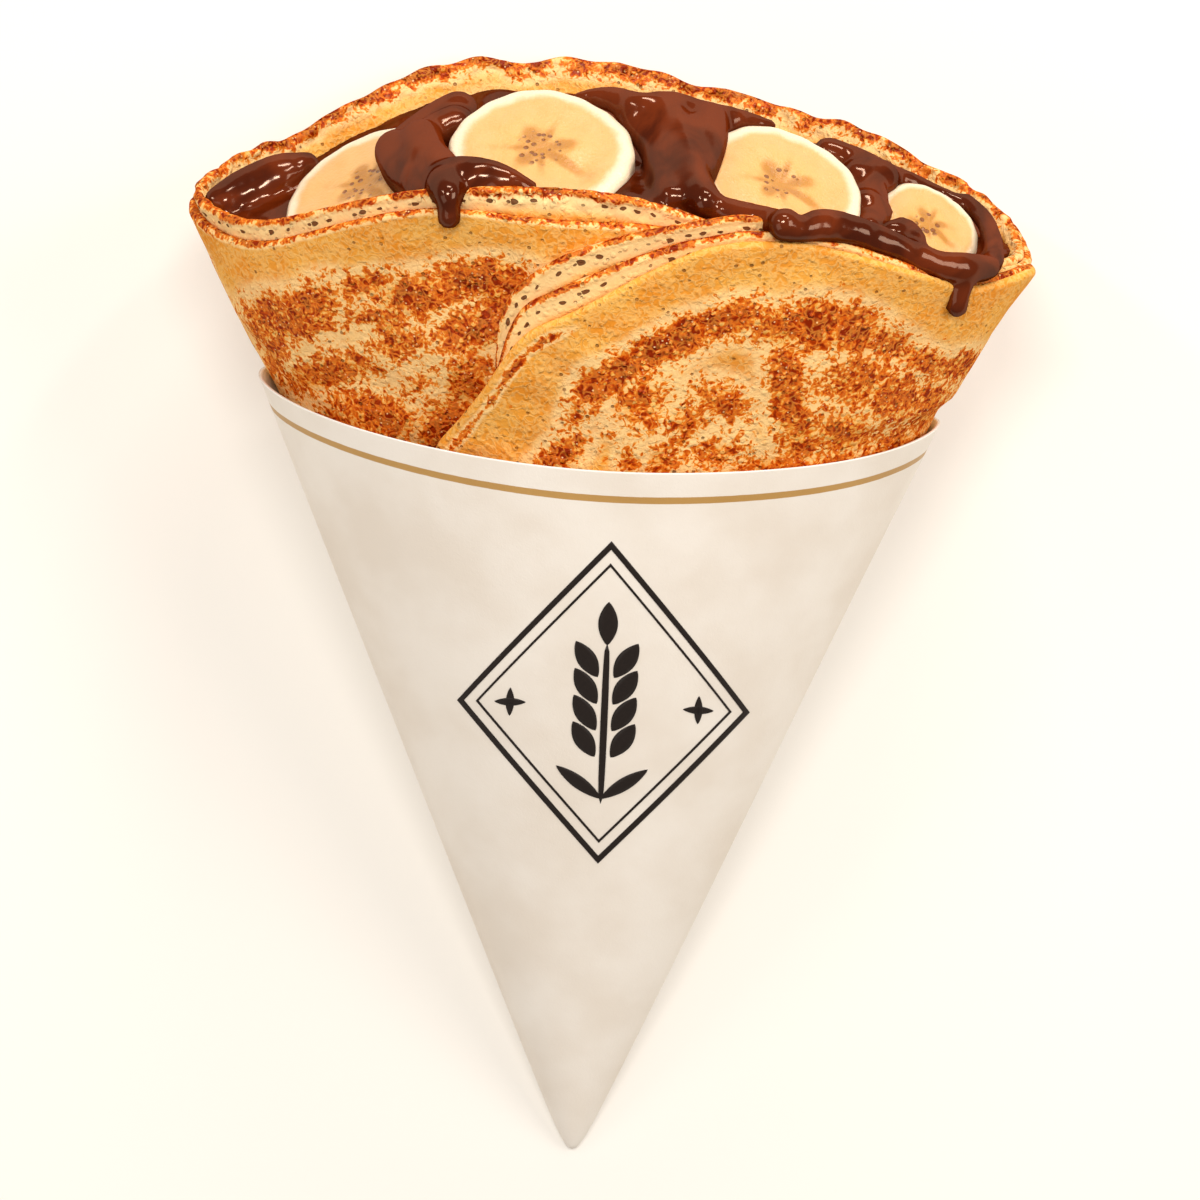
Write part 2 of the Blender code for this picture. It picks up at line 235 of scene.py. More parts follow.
class Paint:
    """A Principled material and the nodes that feed it."""

    def __init__(self, name, roughness, **constants):
        self.material = bpy.data.materials.new(name)
        self.material.use_nodes = True
        self.tree = self.material.node_tree
        self.shader = self.tree.nodes["Principled BSDF"]
        self.shader.inputs["Roughness"].default_value = roughness
        for socket, value in constants.items():
            self.shader.inputs[socket.replace("_", " ")].default_value = value

    def node(self, kind, values, output=0, stops=None, **settings):
        """Adds a node: its settings first, then its sockets' values or links. Returns one output."""
        made = self.tree.nodes.new(kind)
        for setting, value in settings.items():
            setattr(made, setting, value)
        if stops:
            ramp_stops = made.color_ramp.elements
            while len(ramp_stops) < len(stops):
                ramp_stops.new(1.0)
            for stop, (place, colour) in zip(ramp_stops, stops):
                stop.position = place
                stop.color = colour
        for socket, value in values.items():
            self.feed(made.inputs[socket], value)
        return Tone(self, made.outputs[output])

    def feed(self, socket, value):
        """Links a Tone to the socket, or sets the socket to a plain value."""
        if isinstance(value, Tone):
            self.tree.links.new(value.socket, socket)
        else:
            socket.default_value = value

    def millimetres(self):
        """Object coordinates in millimetres."""
        place = self.node("ShaderNodeTexCoord", {}, output="Object")
        return self.node("ShaderNodeVectorMath", {0: place, "Scale": 1000.0}, operation="SCALE")

    def attribute(self, name, output="Fac"):
        """A number that the mesh stores at its points."""
        return self.node("ShaderNodeAttribute", {}, output=output, attribute_name=name)

    def noise(self, place, size, detail=3.0, distortion=0.0):
        """Cloudy noise from 0 to 1 whose spots are about size millimetres wide."""
        values = {"Vector": place, "Scale": 1 / size, "Detail": detail, "Distortion": distortion}
        return self.node("ShaderNodeTexNoise", values)

    def cells(self, place, size):
        """Distance to the nearest of many scattered points, in cells of about size millimetres."""
        values = {"Vector": place, "Scale": 1 / size}
        return self.node("ShaderNodeTexVoronoi", values, output="Distance")

    def step(self, value, low, high):
        """0 below low, 1 above high and smooth between them."""
        values = {"Value": value, "From Min": low, "From Max": high}
        return self.node("ShaderNodeMapRange", values, interpolation_type="SMOOTHSTEP")

    def mix(self, factor, first, second):
        """The first colour where the factor is 0 and the second where it is 1."""
        return self.node("ShaderNodeMix", {0: factor, 6: first, 7: second}, output=2, data_type="RGBA")

    def finish(self, colour, height, depth, roughness=None, shine=None):
        """Feeds the shader. Height is a bump of 0 to 1 that stands depth millimetres proud.

        shine is the share, roughness and tint of an even reflection over the whole surface, as on a
        skin of oil. It doesn't grow where the surface is seen at a slant, so dark food stays dark.
        """
        self.feed(self.shader.inputs["Base Color"], colour)
        if roughness is not None:
            self.feed(self.shader.inputs["Roughness"], roughness)
        bumps = {"Height": height, "Distance": depth * MM, "Strength": 1.0}
        relief = self.node("ShaderNodeBump", bumps)
        self.feed(self.shader.inputs["Normal"], relief)
        if shine:
            oil = {"Base Color": shine[2], "Metallic": 1.0, "Roughness": shine[1], "Normal": relief}
            body = Tone(self, self.shader.outputs[0])
            both = {0: shine[0], 1: body, 2: self.node("ShaderNodeBsdfPrincipled", oil)}
            surface = self.tree.nodes["Material Output"].inputs["Surface"]
            self.feed(surface, self.node("ShaderNodeMixShader", both))
        return self.material


# %% Floor
floor_paint = Paint("pale_floor", 0.9, Specular_IOR_Level=0.1)
FLOOR_COLOUR = linear(200, 195, 187)
cloud = floor_paint.noise(floor_paint.millimetres(), 400.0)
floor_colour = floor_paint.mix(cloud, FLOOR_COLOUR, linear(197, 191, 182))
floor_paint.shader.inputs["Emission Color"].default_value = FLOOR_COLOUR
floor_paint.shader.inputs["Emission Strength"].default_value = 0.66
floor_mesh = bpy.data.meshes.new("floor")
REACH = 3.0
corners = [(-REACH, -REACH, 0), (REACH, -REACH, 0), (REACH, REACH, 0), (-REACH, REACH, 0)]
floor_mesh.from_pydata(corners, [], [(0, 1, 2, 3)])
floor_mesh.materials.append(floor_paint.finish(floor_colour, cloud, 0.0))
floor = bpy.data.objects.new("floor", floor_mesh)
bpy.context.scene.collection.objects.link(floor)
print("floor is", 2 * REACH, "m wide")

# %% [markdown]
# ## From arrays to meshes
# Every piece is a grid of rows and columns that closes on itself or at a pole. The first helper joins
# neighbours into four-sided faces and turns them outwards when the enclosed volume comes out
# negative. The second puts one or more such grids into a mesh, and stores any extra numbers, such as
# how browned a point is, as attributes for the material.

# %% Faces of a grid


def grid_faces(points, close_rows, close_columns, ends, poles):
    """Faces between neighbours of a (rows, columns, 3) grid, as four point numbers each.

    close_rows and close_columns join the last row or column to the first. ends fills the first and
    last column of a grid whose rows are closed. poles means that the first and last rows are one
    point each, so their faces name it twice.
    """
    rows, columns = points.shape[:2]
    index = np.arange(rows * columns).reshape(rows, columns)
    if poles:
        index[0] = index[0, 0]
        index[-1] = index[-1, 0]
    if close_columns:
        index = np.hstack([index, index[:, :1]])
    if close_rows:
        index = np.vstack([index, index[:1]])
    quads = np.stack([index[:-1, :-1], index[:-1, 1:], index[1:, 1:], index[1:, :-1]], -1)
    quads = quads.reshape(-1, 4)
    if ends:
        half = rows // 2
        low, high = index[half - 1::-1], index[half + 1:rows]
        for column, way in ((0, 1), (-1, -1)):
            strip = np.stack([low[:-1, column], low[1:, column], high[1:, column], high[:-1, column]], -1)
            tip = [[index[half, column], low[0, column], high[0, column], index[half, column]]]
            quads = np.vstack([quads, strip[:, ::way], np.array(tip)[:, ::way]])
    a, b, c, d = points.reshape(-1, 3)[quads.T]
    volume = np.einsum("ij,ij->", a, np.cross(b, c)) + np.einsum("ij,ij->", a, np.cross(c, d))
    return quads if volume > 0 else quads[:, ::-1]


# %% Mesh of a piece


def add_piece(name, grids, paint, close_rows=False, close_columns=True, ends=False, poles=False, **marks):
    """One object from a list of grids in millimetres. Each mark is one value for each point."""
    quads, start = [], 0
    for grid in grids:
        quads.append(grid_faces(grid, close_rows, close_columns, ends, poles) + start)
        start += grid.shape[0] * grid.shape[1]
    used, quads = np.unique(np.concatenate(quads), return_inverse=True)
    quads = quads.reshape(-1, 4)
    corner = quads != np.roll(quads, 1, axis=1)
    points = np.concatenate([grid.reshape(-1, 3) for grid in grids])[used] * MM
    mesh = bpy.data.meshes.new(name)
    mesh.vertices.add(len(points))
    mesh.vertices.foreach_set("co", points.ravel())
    mesh.loops.add(int(corner.sum()))
    mesh.loops.foreach_set("vertex_index", quads[corner])
    mesh.polygons.add(len(quads))
    mesh.polygons.foreach_set("loop_start", np.cumsum(corner.sum(axis=1)) - corner.sum(axis=1))
    mesh.update(calc_edges=True)
    for mark, values in marks.items():
        kind, field = ("FLOAT_VECTOR", "vector") if np.ndim(values) == 3 else ("FLOAT", "value")
        values = np.asarray(values, np.float32).reshape(-1, 3 if kind == "FLOAT_VECTOR" else 1)[used]
        mesh.attributes.new(mark, kind, "POINT").data.foreach_set(field, values.ravel())
    mesh.shade_smooth()
    mesh.materials.append(paint)
    piece = bpy.data.objects.new(name, mesh)
    bpy.context.scene.collection.objects.link(piece)
    print(name, "has", len(mesh.polygons), "faces")
    return piece


# %% [markdown]
# ## The paper cone
# A sheet of white paper is rolled into a cone and glued along an overlap at the back. It could be a
# primitive cone, but the real one is an ellipse from being squeezed by the crepe, its edge is higher
# at both sides, and its tip is blunt. So its wall is the cone's function, once for the outer and
# once for the inner face. The overlap is a step in the lift that fades out over a quarter turn.

# %% Paper shape
SEAM_ANGLE = 214.0


def paper_rim(angle):
    """Slant of the paper's edge: higher at both sides, lower at the front."""
    return PAPER_SLANT + 9 * bump(angle, 180, 45) + 5 * bump(angle, 5, 32) - 7.3 * bump(angle, 88, 45)


def overlap(angle):
    """Lift of the glued overlap: half a millimetre at the seam, fading out over 80 degrees."""
    past_seam = (angle - SEAM_ANGLE) % 360
    return 0.5 * (1 - ramp(past_seam, 0, 80)) * ramp(past_seam, 0, 0.6)


def slack(angle, share):
    """Gentle waves of the paper in and out of the cone: a sine round it times a sine along it."""
    return 0.35 * np.sin(np.radians(angle * 3 + 20)) * np.sin(share * 7) * share


paper_angles = np.concatenate([np.arange(0, 360, 1.2), SEAM_ANGLE + np.array([0.15, 0.3, 0.6])])
paper_angles.sort()
shares = np.concatenate([np.linspace(0, 1, 90)[:-1] ** 1.3, [0.9975, 1.0]])
angle, share = np.meshgrid(paper_angles, shares)
outer_lift = overlap(angle) * ramp(share, 0, 0.1) + slack(angle, share)
outer = PAPER.point(angle, share * paper_rim(angle), outer_lift)
inner_share = shares[::-1][1:-1]
inner_angle, inner_share = np.meshgrid(paper_angles, inner_share)
inner_lift = slack(inner_angle, inner_share) - PAPER_WALL
inner = PAPER.point(inner_angle, inner_share * paper_rim(inner_angle), inner_lift)
outer[..., 2] = np.maximum(outer[..., 2], 0)
inner[..., 2] = np.maximum(inner[..., 2], PAPER_WALL)
# the inner face ends in one point, a little above the tip
inner[-1] = PAPER.start + 3 * PAPER.axis
paper_grid = np.concatenate([outer, inner])
# the inner face counts as far below the edge, so it gets no gold line
FAR_BELOW = 60
below_inside = (1 - inner_share) * paper_rim(inner_angle) + FAR_BELOW
below_edge = np.concatenate([(1 - share) * paper_rim(angle), below_inside])
print("paper grid", paper_grid.shape)

# %% Paper finish
paper = Paint("white_paper", 0.62, Specular_IOR_Level=0.35)
place = paper.millimetres()
fibres = paper.noise(place, 0.7, detail=4.0, distortion=1.2)
clouds = paper.noise(place, 18.0, detail=3.0)
white = paper.mix(paper.step(clouds, 0.3, 0.7), linear(232, 220, 205), linear(242, 233, 221))
white = paper.mix(fibres * 0.25, white, linear(238, 224, 202))
below = paper.attribute("below_edge")
wobble = (paper.noise(place, 2.0) - 0.5) * 0.12
GOLD_BELOW = 5.6
stripe = 1 - paper.step(abs(below - GOLD_BELOW + wobble), 0.62, 0.74)
gold = paper.mix(clouds, linear(172, 128, 66), linear(200, 156, 92))
lines = paper.mix(stripe, white, gold)
# painted highlight: the last half millimetre under the paper's edge is painted near white, as the cut rim
# catching the light
edge = 1 - paper.step(below, 0.15, 0.5)
lines = paper.mix(edge * 0.5, lines, linear(255, 252, 246))
grain = fibres * 0.6 + paper.noise(place, 3.5, detail=4.0) * 0.8
paper_finish = paper.finish(lines, grain, 0.07, roughness=0.62 - stripe * 0.2)
paper_cone = add_piece("paper_wrap", [paper_grid], paper_finish, poles=True, below_edge=below_edge)
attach(paper_cone, "root")
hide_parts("paper_cone")

# %% [markdown]
# ## The printed emblem
# The cone carries a black line emblem: an upright rhombus round an ear of wheat. Ink could be a mask
# in the paper's material, but thin closed strips keep sharp edges at any distance. A place is given
# in millimetres right of and above the emblem's middle, and each strip lies a tenth of a millimetre
# proud of the paper.

# %% Ink on paper
EMBLEM_RIGHT = 2.6
EMBLEM_SLANT = 98.0
# a strip's profile: shares of its half width, and the height of each over the paper
ACROSS = np.array([-1, -0.5, 0, 0.5, 1, 1, 0, -1])
PROUD = np.array([0.1, 0.1, 0.1, 0.1, 0.1, -0.15, -0.15, -0.15])


def on_paper(right, along):
    """A strip of eight columns. Its angle's cosine is its place to the right over the half width."""
    slant = EMBLEM_SLANT + along
    half_width = slant * PAPER.width * np.sqrt(1 + 2 * PAPER.blunt / slant) / math.hypot(1, PAPER.depth)
    angle = np.degrees(np.arccos((EMBLEM_RIGHT + right) / half_width))
    return PAPER.point(angle, slant, slack(angle, slant / paper_rim(angle)) + PROUD)


def rhombus(size, width):
    """A closed frame: its corners walked in straight lines, scaled a little up and down."""
    turned = np.linspace(0, 4, 97)[:-1]
    right = np.abs((turned + 2) % 4 - 2) - 1
    along = np.abs((turned + 1) % 4 - 2) - 1
    scale = size + ACROSS * width / 2
    return on_paper(right[:, None] * scale * 0.82, along[:, None] * scale)


def leaf(right, along, turn, length, width, blunt=0.8):
    """A pointed oval: half width is the sine of the place along it, to the power blunt."""
    share = np.linspace(0, 1, 21)[:, None]
    half = width / 2 * np.sin(math.pi * share).clip(0, 1) ** blunt * ACROSS
    ahead = (share - 0.5) * length
    turn = math.radians(turn)
    strip = on_paper(right + ahead * math.sin(turn) + half * math.cos(turn),
                     along + ahead * math.cos(turn) - half * math.sin(turn))
    strip[[0, -1]] = strip[[0, -1]].mean(axis=1, keepdims=True)
    return strip


# %% Emblem
ink = Paint("black_ink", 0.55, Specular_IOR_Level=0.3)
worn = ink.noise(ink.millimetres(), 0.5)
ink_finish = ink.finish(ink.mix(worn, linear(26, 18, 14), linear(38, 28, 22)), worn, 0.03)
frames = [rhombus(33.0, 1.7), rhombus(29.0, 0.7)]
ear = [leaf(0, -4, 0, 34, 1.3, 0.2), leaf(0, 17, 0, 9, 3.6)]
for level in range(4):
    for way in (-1, 1):
        ear.append(leaf(way * 3.6, 9.5 - 5.6 * level, way * 30, 8.5, 3.6))
ear += [leaf(way * 4.2, -16.5, way * 52, 11, 2.6) for way in (-1, 1)]
stars = [leaf(way * 17.5, 0, turn, 6.0, 1.6) for way in (-1, 1) for turn in (0, 90)]
emblem = [
    add_piece("emblem_frame", frames, ink_finish, close_rows=True),
    add_piece("emblem_ear", ear + stars, ink_finish, poles=True)]
for piece in emblem:
    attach(piece, "root")
    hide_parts("paper_cone")

# %% [markdown]
# ## The crepe's skin
# A crepe is cream where it hardly touched the pan and lacy brown where it did, with tiny pits and
# crinkles all over. Near an edge it has a thin toasted line, then a pale lip with a row of pin-holes.
# Painting a picture would fix it to one view, so the large patches are soft ellipses worked out at
# the mesh's points, and noise in the material breaks them up into lace.

# %% Crepe finish
crepe = Paint("golden_crepe", 0.5, Specular_IOR_Level=0.0)
place = crepe.millimetres()
toast = crepe.attribute("toast")
edge_distance = crepe.attribute("edge_distance")
along = crepe.attribute("along_edge")
broad = crepe.noise(place, 9.0, detail=2.0)
patchy = crepe.noise(place, 2.8, detail=5.0, distortion=0.8)
fine = crepe.noise(place, 1.3, detail=2.0, distortion=1.0)
crinkle = 1 - abs(crepe.noise(place, 1.5, detail=1.5, distortion=0.7) - 0.5) * 8
crinkle = crinkle.at_least(0.0)
bubbles = 1 - crepe.step(crepe.cells(place, 1.7), 0.12, 0.4)
browned = toast * 0.95 + (patchy - 0.5) * 1.2 + (fine - 0.5) * 1.3 - bubbles * 0.35 - crinkle * 0.25
browned = crepe.step(browned, 0.16, 0.96)
BROWNING = (
    (0.0, linear(238, 168, 72)),
    (0.14, linear(234, 146, 48)),
    (0.34, linear(218, 108, 22)),
    (0.58, linear(200, 80, 8)),
    (0.8, linear(168, 52, 2)),
    (1.0, linear(132, 32, 0)),
)
toasted = crepe.node("ShaderNodeValToRGB", {"Fac": browned}, stops=BROWNING)
pale = crepe.mix(crepe.step(broad, 0.35, 0.68), linear(236, 163, 64), linear(228, 140, 40))
# painted highlight: the raised crinkle threads are painted lighter, as if lit along their tops
pale = crepe.mix(crinkle * 0.45, pale, linear(247, 205, 126))
glow = crepe.step(toast, 0.04, 0.3) * (1 - crepe.step(toast, 0.5, 0.8))
pale = crepe.mix(glow * 0.6, pale, linear(253, 216, 154))
colour = crepe.mix(crepe.step(browned, 0.02, 0.2), pale, toasted)
# painted highlights: crinkle threads and small specks in the browned batter are painted golden, as glints of
# oil
colour = crepe.mix(crinkle * browned * 0.55, colour, linear(244, 156, 60))
glints = (1 - crepe.step(crepe.cells(place, 1.15), 0.1, 0.2)) * browned
colour = crepe.mix(glints * 0.8, colour, linear(255, 214, 150))
pits = 1 - crepe.step(crepe.cells(place, 2.3), 0.1, 0.18)
pits = pits * crepe.step(crepe.noise(place, 7.0), 0.42, 0.52)
colour = crepe.mix(pits * 0.75, colour, linear(138, 78, 30))

# the pale lip and its row of pin-holes, one in each 2.7 mm
HOLE_SPACING = 2.7
lip = crepe.step(edge_distance, 0.5, 1.5) * (1 - crepe.step(edge_distance, 3.0, 5.0))
colour = crepe.mix(lip * (1 - crepe.step(browned, 0.2, 0.6)) * 0.78, colour, linear(252, 216, 152))
in_row = {"W": along / HOLE_SPACING, "Scale": 1.0}
row = crepe.node("ShaderNodeTexVoronoi", in_row, voronoi_dimensions="1D")
size = crepe.node("ShaderNodeTexVoronoi", in_row, output="Color", voronoi_dimensions="1D")
size = crepe.node("ShaderNodeSeparateColor", {0: size})
hole_side = row * HOLE_SPACING / (size * 0.85 + 0.16)
hole_down = (edge_distance - 2.15 + (crepe.noise(place, 4.0) - 0.5) * 1.6) / (size * 0.34 + 0.16)
holes = 1 - crepe.step(hole_side * hole_side + hole_down * hole_down, 0.7, 1.25)
holes = holes * crepe.step(size, 0.12, 0.3)
colour = crepe.mix(holes * 0.92, colour, linear(98, 40, 8))
height = (crinkle * 0.15 + fine * 0.55 + patchy * 0.45) * (1 - lip * 0.6) - pits * 0.6 - holes * 0.7
height = height + bubbles * (browned + 0.45) * 0.75
crepe_finish = crepe.finish(colour, height, 0.5, shine=(0.014, 0.28, linear(255, 238, 214)))
print("crepe finish has", len(crepe.tree.nodes), "nodes")

# %% [markdown]
# ## Layers of batter
# One layer is a 2 mm sheet between a hidden base line and a free edge. A Solidify modifier would
# give it square edges, while a real edge is a soft lip. So the sheet is computed as two faces that
# stand half a layer off a middle surface. Close to the edge the half thickness shrinks as a circle
# does, and both faces meet in one row.

# %% Soft waves for uneven food


def waves(points, size, seed, count=16):
    """Uneven relief of about -1 to 1: a sum of sines about size millimetres long, at random turns."""
    random = np.random.default_rng(seed)
    directions = random.normal(size=(count, 3))
    directions *= (2 * math.pi / size) / np.linalg.norm(directions, axis=1, keepdims=True)
    directions *= random.uniform(0.7, 1.4, (count, 1))
    phases = random.uniform(0, 2 * math.pi, count)
    return np.sin(points @ directions.T + phases).sum(-1) / math.sqrt(count)


def kept_clear(points, depth):
    """Points drawn in from the paper round them and up off the floor.

    A point's distance from the paper's axis is scaled down until it lies CLEARANCE plus its own
    depth inside the paper. Past the paper's edge this soon lets go.
    """
    shape = points.shape[:-1]
    offset = points.reshape(-1, 3) - TIP
    depth = np.broadcast_to(depth, shape).ravel()
    along_axis = offset @ PAPER.axis
    across = np.stack([offset @ PAPER.side, offset @ PAPER.front], axis=1)
    angle = np.degrees(np.arctan2(across[:, 1] / PAPER.depth, across[:, 0] / PAPER.width))
    reach = np.linalg.norm(across, axis=1)
    slant = np.hypot(along_axis, reach)
    wall = along_axis * np.sqrt(1 + 2 * PAPER.blunt / slant)
    share = np.hypot(across[:, 0] / PAPER.width, across[:, 1] / PAPER.depth) / wall
    past_edge = slant - paper_rim(angle)
    allowed = 1 - (CLEARANCE + depth) / np.maximum(reach, 8) + 0.4 * ramp(past_edge, 3, 28)
    across *= np.minimum(1, allowed / np.maximum(share, 0.1))[:, None]
    drawn = TIP + along_axis[:, None] * PAPER.axis + across @ np.stack([PAPER.side, PAPER.front])
    paper_end = TIP[1] + PAPER_SLANT
    level = CLEARANCE * ramp(drawn[:, 1], paper_end + 8, paper_end + 1)
    drawn[:, 2] = np.maximum(drawn[:, 2], level + depth)
    return drawn.reshape(*shape, 3)


# %% [markdown]
# The browned patches of the shown side are listed once, as soft ellipses seen from above. The
# underside gets waves instead, since a pan browns it in loose rings.

# %% Browned patches
# middle x and y, half length, half width, turn in degrees, strength
PATCHES = (
    # left panel
    (-61, 61, 3.5, 1.4, 10, 0.5), (-53.5, 60.5, 4, 2.5, -20, 0.7), (-54, 54, 4.5, 4.5, -40, 0.9),
    (-44.5, 57.5, 5, 2.2, 5, 0.9), (-35, 55.5, 6.5, 3.2, 5, 0.95), (-24, 58.5, 7.5, 3.2, 12, 1.0),
    (-18.5, 53, 4.5, 7, 20, 1.0), (-63, 52, 4, 5.5, -25, 0.85), (-58, 51, 7, 2.4, 0, 0.95),
    (-62, 46, 2.5, 7, -20, 0.8), (-45, 52, 4, 2, 0, 0.7), (-40, 51, 3.5, 3, -30, 0.85),
    (-52, 42, 10, 2.8, 8, 0.85), (-38, 47, 7, 2.6, 15, 0.75), (-25, 49, 6, 3.5, 10, 0.95),
    (-43, 34, 9, 4, -15, 0.9), (-51, 33, 4, 5, 0, 0.75), (-30.5, 31, 4.5, 6, -20, 1.0),
    (-26, 40, 4, 5, -30, 0.9), (-35, 40, 6, 2, 30, 0.65),
    # arc across the flap
    (-6.5, 34.5, 2.2, 3.2, -25, 0.7), (-3, 39, 3, 3.4, -30, 0.95), (1.5, 42, 4.5, 2.6, 32, 1.0),
    (6.5, 45, 4.5, 2.5, 30, 1.05), (12, 47.5, 4.5, 3, 30, 1.05), (18, 50, 3.5, 2.6, 20, 0.95),
    (22.5, 51.2, 4, 2.8, 8, 1.0), (30, 49.5, 5, 3, 0, 0.95), (37, 50, 4.5, 4, 20, 1.05),
    (43, 49.5, 5, 4, -10, 1.0), (50, 47, 5, 2.6, -20, 0.85), (57, 44, 5.5, 2, -12, 0.9),
    (64, 43.5, 5, 2, 15, 0.9), (68, 41, 3.5, 4, 40, 0.7),
    # lower part of the flap
    (5, 36, 5.5, 4.5, 0, 0.78), (13, 33, 4.5, 3.5, 10, 0.72), (19.5, 36.5, 5, 3, -15, 0.78),
    (31.5, 38, 3, 8.5, 8, 0.95), (34, 30, 3.5, 5, 0, 0.85), (44, 40, 7, 5, 20, 0.78),
    (51, 37, 6, 5, 0, 0.8), (42, 31, 6, 4.5, 0, 0.82), (58, 36, 4, 6, -30, 0.78), (52, 29, 6, 3, 10, 0.8),
    (-8.5, 27.5, 3.6, 2.4, 30, 0.95), (-12.5, 25.5, 2.2, 1.5, 0, 0.8), (3, 25.5, 2, 3, 0, 0.7),
    (9, 26, 3, 3, 0, 0.8), (19, 27, 5, 2.5, 10, 0.75), (30, 25, 8, 2, 0, 0.8), (41, 25, 7, 3, 0, 0.8),
)


def patches(points, outward):
    """The largest of many soft ellipses, each exp of minus the squared distance in its own widths.

    outward is how much the surface faces up. Where it faces down, waves take over.
    """
    result = np.zeros(points.shape[:-1])
    for x, y, half_length, half_width, turn, strength in PATCHES:
        turn = math.radians(turn)
        east, north = points[..., 0] - x, points[..., 1] - y
        length = (east * math.cos(turn) + north * math.sin(turn)) / half_length
        width = (north * math.cos(turn) - east * math.sin(turn)) / half_width
        result = np.maximum(result, strength * np.exp(-(length ** 2 + width ** 2) * 0.42))
    shown = ramp(outward, 0.0, 0.35)
    rings = 0.42 + 0.42 * waves(points * np.array([1, 1.6, 1]), 26, 5) + 0.2 * waves(points, 9, 6)
    return result * shown + np.clip(rings, 0, 0.9) * (1 - shown)


# %% One sheet of batter
HALF = LAYER / 2
# rows lie close together up to this distance from the edge
FINE_ROWS = 12


def sheet(name, edge, base, lift, depth, crust, closed, toasted, lip, spacing=0.8):
    """A sheet from its free edge to its hidden base line.

    edge and base are (angle, slant) arrays with one entry a column. Rows lie at growing distances
    from the edge. lift(angle, slant, distance) is the middle surface's height over the cone, depth
    is how far under its neighbours the sheet is pressed by the paper, crust(angle) is the width of
    the toasted line along the edge, toasted(angle) gives its strength and its distance from it, and
    lip(angle) is 1 where a pale lip with pin-holes follows. Rows are 0.6 of spacing apart near the
    edge and 1.25 of it further in.
    """
    edge_angle, edge_slant = edge
    base_angle, base_slant = base
    start = CREPE.point(edge_angle, edge_slant, 0.0)
    end = CREPE.point(base_angle, base_slant, 0.0)
    length = np.linalg.norm(end - start, axis=-1)
    near = HALF * (1 - np.cos(np.radians(np.arange(0, 91, 15))))
    near = np.concatenate([near, np.arange(HALF + 0.35, FINE_ROWS, spacing * 0.6)])
    far = np.linspace(0, 1, max(4, int((length.max() - FINE_ROWS) / (spacing * 1.25))))[1:]
    far = near[-1] + far * (length[:, None] - near[-1])
    distance = np.concatenate([np.tile(near, (len(length), 1)), far], 1).T
    share = distance / length
    angle = edge_angle + share * (base_angle - edge_angle)
    slant = edge_slant + share * (base_slant - edge_slant)
    round_off = 1 - np.minimum(distance, HALF) / HALF
    thickness = HALF * np.sqrt(1 - round_off ** 2)
    thickness[-1] = HALF * 0.2
    middle = lift(angle, slant, distance)
    under = depth(angle, slant)
    place = CREPE.point(angle, slant, middle)
    uneven = 0.5 * waves(place, 34, 1) + 0.22 * waves(place, 11, 2) * ramp(distance, 0, 10)
    frill = waves(place, 4.2, 3) * 0.45 + waves(place, 2.3, 4) * 0.3
    frill = 1.3 * frill * np.clip(crust(angle) - 1.1, 0, 1.0) * (1 - ramp(distance, 1, 6))
    over, below = middle + uneven + thickness + frill, middle + uneven - thickness - frill * 0.7
    top = kept_clear(CREPE.point(angle, slant, over), under)
    bottom = kept_clear(CREPE.point(angle, slant, below), under + 2 * thickness)
    grid = np.concatenate([bottom[::-1], top[1:]])
    grid[len(distance) - 1] = (top[0] + bottom[0]) / 2
    steps = np.linalg.norm(np.diff(start, axis=0, append=start[:1]), axis=-1)
    run = np.cumsum(steps)
    outward = CREPE.point(angle, slant, 1.0) - CREPE.point(angle, slant, 0.0)
    toast = patches(top, outward[..., 2])
    calm = ramp(distance, 3, 12)
    strength, inset = toasted(angle)
    line = np.exp(-((distance - inset) / crust(angle)) ** 2)
    line = strength * line * (0.9 + 0.3 * waves(place, 6.0, 8))
    outside = np.maximum(toast * calm, line)
    inside = 0.25 * np.maximum(waves(place, 12.0, 9), 0)
    inner_line = np.exp(-(distance / crust(angle)) ** 2) * (0.9 + 0.3 * waves(place, 5.0, 8))
    inside = np.maximum(inside, strength * (inset == 0) * inner_line)
    toast = np.concatenate([inside[::-1], outside[1:]])
    edge_distance = np.concatenate([distance[::-1] + 40, distance[1:] + 6 * (1 - lip(angle[1:]))])
    along_edge = np.broadcast_to(run, toast.shape)
    piece = add_piece(
        name, [grid], crepe_finish, close_rows=True, close_columns=closed, ends=not closed,
        toast=toast, edge_distance=edge_distance, along_edge=along_edge)
    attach(piece, "root")
    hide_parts("crepe")


# %% [markdown]
# ## Two wraps and the folded end
# The roll is two wraps, one inside the other, so that its rim shows two lips. The folded end is
# three more layers. Their edges run together at the right side and fan out to a rounded corner at
# the left, from where the uppermost drops into the paper as a long diagonal.

# %% Edges
FLAP_STEP = 1.8
FLAP_LOW = 62.0
FLAP_START = -14
# number of waves round the rim, where they start in degrees and their height
FRILL = (
    (7, 100, 0.45), (11, 0, 0.5), (19, 40, 0.4), (31, 200, 0.25), (37, 70, 0.22), (46, 310, 0.2),
    (59, 15, 0.16))


def crepe_rim(angle):
    """Slant of the inner wrap's edge: tallest at the back, lower where the flap covers it."""
    hills = 6.2 * bump(angle, 262, 33) + 2.6 * bump(angle, 247, 13)
    dips = 3 * bump(angle, 0, 25) + 5.6 * bump(angle, 143, 22) + 1.5 * bump(angle, 90, 35)
    under_flap = 9 * bump(angle, 64, 20) + 5 * bump(angle, 38, 18)
    frill = sum(height * np.sin(np.radians(angle * times + start)) for times, start, height in FRILL)
    return 168.5 + hills - dips - under_flap + frill * bump(angle, 265, 70)


def outer_rim(angle):
    """Slant of the outer wrap's edge: a little below the inner one, most at the front."""
    left = 2.4 * bump(angle, 158, 30)
    middle = 1.2 * bump(angle, 125, 20)
    return crepe_rim(angle) - 0.8 - left - middle - 4.2 * bump(angle, 95, 15)


